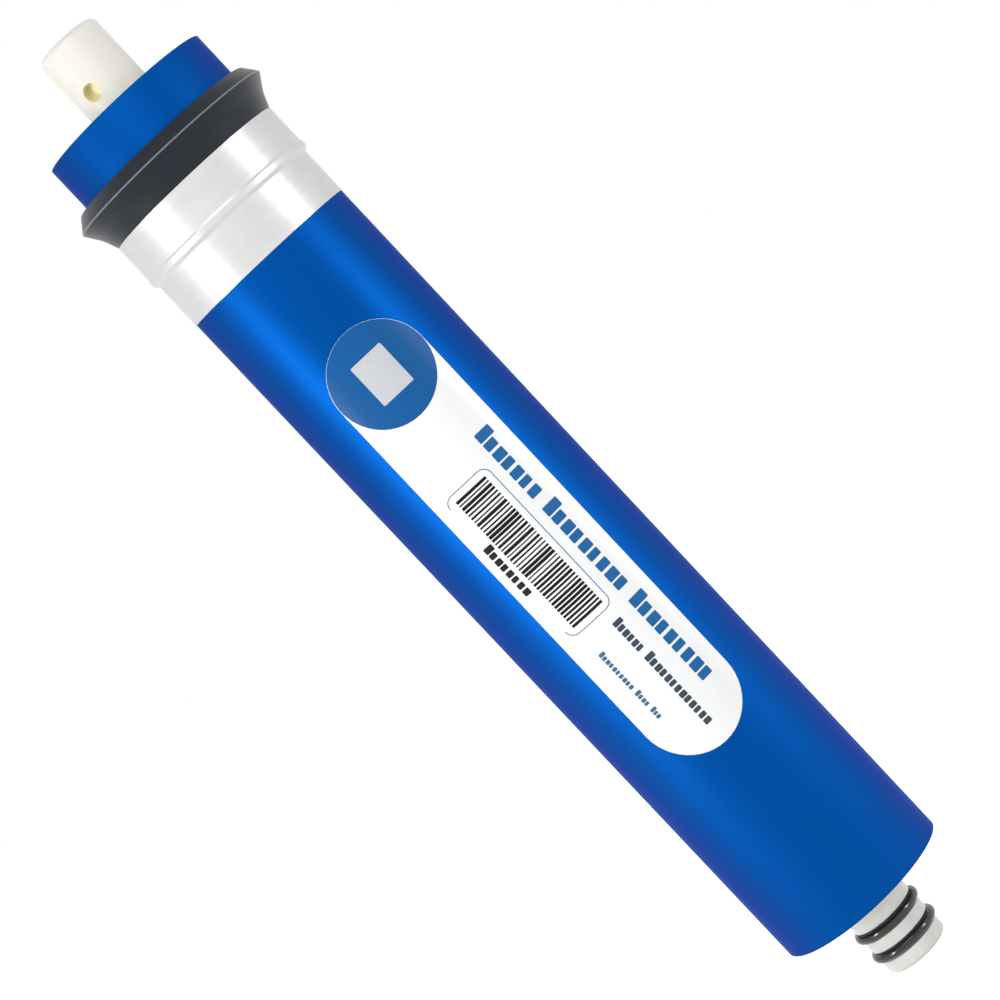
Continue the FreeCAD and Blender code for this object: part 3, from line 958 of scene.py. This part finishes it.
# ----------------------------------------------------------------------- O-rings
# Two nitrile rubber O-rings seal the spigot in the housing's product port. They are
# moulded rings of round section, greased and rolled over the tip into their grooves.
RING_SECTION_R = 1.31 * MM
RING_SEAT_GAP = 0.05 * MM
RING_MIDDLE = GROOVE_R + RING_SEAT_GAP + RING_SECTION_R
RING_SIDES = 28


def ring_material():
    """Black nitrile with a film of grease, which makes it glossy in patches."""
    material, tree, shader = new_material("greased_nitrile")
    where = placed(tree, RING_MIDDLE / MM)
    grain = grained(tree, where.outputs["Place"], 0.6, 1.0, 0.20, 0.10)
    shade = blend_colour(tree, grain.outputs["Relief"], rgb(6, 6, 7), rgb(16, 16, 18))
    laid_on(tree, shader, shade, grain, 0.08, 0.0002)
    shader.inputs["Specular IOR Level"].default_value = 0.6
    return material


nitrile = ring_material()
for ring_node, centre in zip(("o_ring_outer", "o_ring_inner"), ring_centres):
    section = []
    for side in range(RING_SIDES):
        angle = TURN * side / RING_SIDES
        radius = RING_MIDDLE + RING_SECTION_R * math.cos(angle)
        section.append((radius, centre + RING_SECTION_R * math.sin(angle)))
    o_ring = turned(ring_node + "_rubber", section, segments=128)
    o_ring.data.materials.append(nitrile)
    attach(o_ring, "root")
    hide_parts(ring_node)

# ------------------------------------------------------------------------- stage
# The element stands on a pale floor under soft studio light: two narrow lights low at
# its sides, which draw the two bands on the film, and a broad light high in front.
FLOOR_REACH = 3.0
FLOOR_LIFT = 0.85
floor_mesh = bpy.data.meshes.new("floor")
floor_corners = [(x * FLOOR_REACH, y * FLOOR_REACH, 0) for x, y in ((-1, -1), (1, -1), (1, 1), (-1, 1))]
floor_mesh.from_pydata(floor_corners, [], [(0, 1, 2, 3)])
floor = bpy.data.objects.new("floor", floor_mesh)
bpy.context.scene.collection.objects.link(floor)
floor.location.z = tube_low.z
floor_material, floor_tree, floor_shader = new_material("pale_floor")
floor_shader.inputs["Base Color"].default_value = (0.7, 0.7, 0.7, 1)
floor_shader.inputs["Roughness"].default_value = 0.9
rays = node(floor_tree, "ShaderNodeLightPath").outputs
seen = calc(floor_tree, "MAXIMUM", rays["Is Camera Ray"], rays["Is Glossy Ray"])
seen = calc(floor_tree, "MAXIMUM", seen, rays["Is Transmission Ray"])
lift = calc(floor_tree, "MULTIPLY", seen, FLOOR_LIFT)
white = node(floor_tree, "ShaderNodeEmission", {"Strength": lift})
shown = node(floor_tree, "ShaderNodeAddShader")
floor_tree.links.new(floor_shader.outputs[0], shown.inputs[0])
floor_tree.links.new(white.outputs[0], shown.inputs[1])
floor_tree.links.new(shown.outputs[0], floor_tree.nodes["Material Output"].inputs["Surface"])
floor_mesh.materials.append(floor_material)

WORLD_LIGHT = 0.30
world = bpy.data.worlds.new("studio")
bpy.context.scene.world = world
world.use_nodes = True
sky = world.node_tree
rays = node(sky, "ShaderNodeLightPath").outputs
seen = calc(sky, "MAXIMUM", rays["Is Camera Ray"], rays["Is Glossy Ray"])
seen = calc(sky, "MAXIMUM", seen, rays["Is Transmission Ray"])
level = calc(sky, "ADD", WORLD_LIGHT, calc(sky, "MULTIPLY", seen, 1.0 - WORLD_LIGHT))
sky.links.new(level, sky.nodes["Background"].inputs["Strength"])
sky.nodes["Background"].inputs["Color"].default_value = (1, 1, 1, 1)


def soft_light(name, bearing, rise, distance, width, height, power):
    """Soft light that faces the element's middle from a bearing and a rise in degrees."""
    lamp = bpy.data.lights.new(name, "AREA")
    lamp.shape = "RECTANGLE"
    lamp.size = width
    lamp.size_y = height
    lamp.energy = power
    holder = bpy.data.objects.new(name, lamp)
    bpy.context.scene.collection.objects.link(holder)
    turn = math.radians(bearing)
    slope = math.radians(rise)
    middle = Vector((0, 0, (ROLL_BOTTOM + ROLL_TOP) / 2))
    level_way = Vector((math.sin(turn), -math.cos(turn), 0)) * math.cos(slope)
    holder.location = middle + (level_way + Vector((0, 0, math.sin(slope)))) * distance
    holder.rotation_euler = (middle - holder.location).to_track_quat("-Z", "Y").to_euler()


soft_light("left_strip", -62.0, -3.0, 0.8, 0.12, 0.45, 4.6)
soft_light("right_strip", 62.0, -3.0, 0.8, 0.08, 0.45, 3.0)
soft_light("front_key", -8.0, 45.0, 1.2, 0.8, 0.8, 5.5)

# ------------------------------------------------------------------------ camera
# The camera looks at the front, a little from above, and is rolled so that the closed
# end points to the upper left.
CAMERA_DISTANCE = 0.739
CAMERA_HEIGHT = 0.205
TARGET = Vector((0.0006, 0, 0.1491))
CAMERA_ROLL = math.radians(43.2)
camera = bpy.data.cameras.new("camera")
camera.lens = 112.0
camera.sensor_width = 36.0
viewer = bpy.data.objects.new("camera", camera)
bpy.context.scene.collection.objects.link(viewer)
viewer.location = (TARGET.x, -CAMERA_DISTANCE, CAMERA_HEIGHT)
look = (TARGET - viewer.location).to_track_quat("-Z", "Y").to_matrix().to_4x4()
viewer.rotation_euler = (look @ Matrix.Rotation(-CAMERA_ROLL, 4, "Z")).to_euler()
bpy.context.scene.camera = viewer
bpy.context.scene.view_settings.view_transform = "Standard"
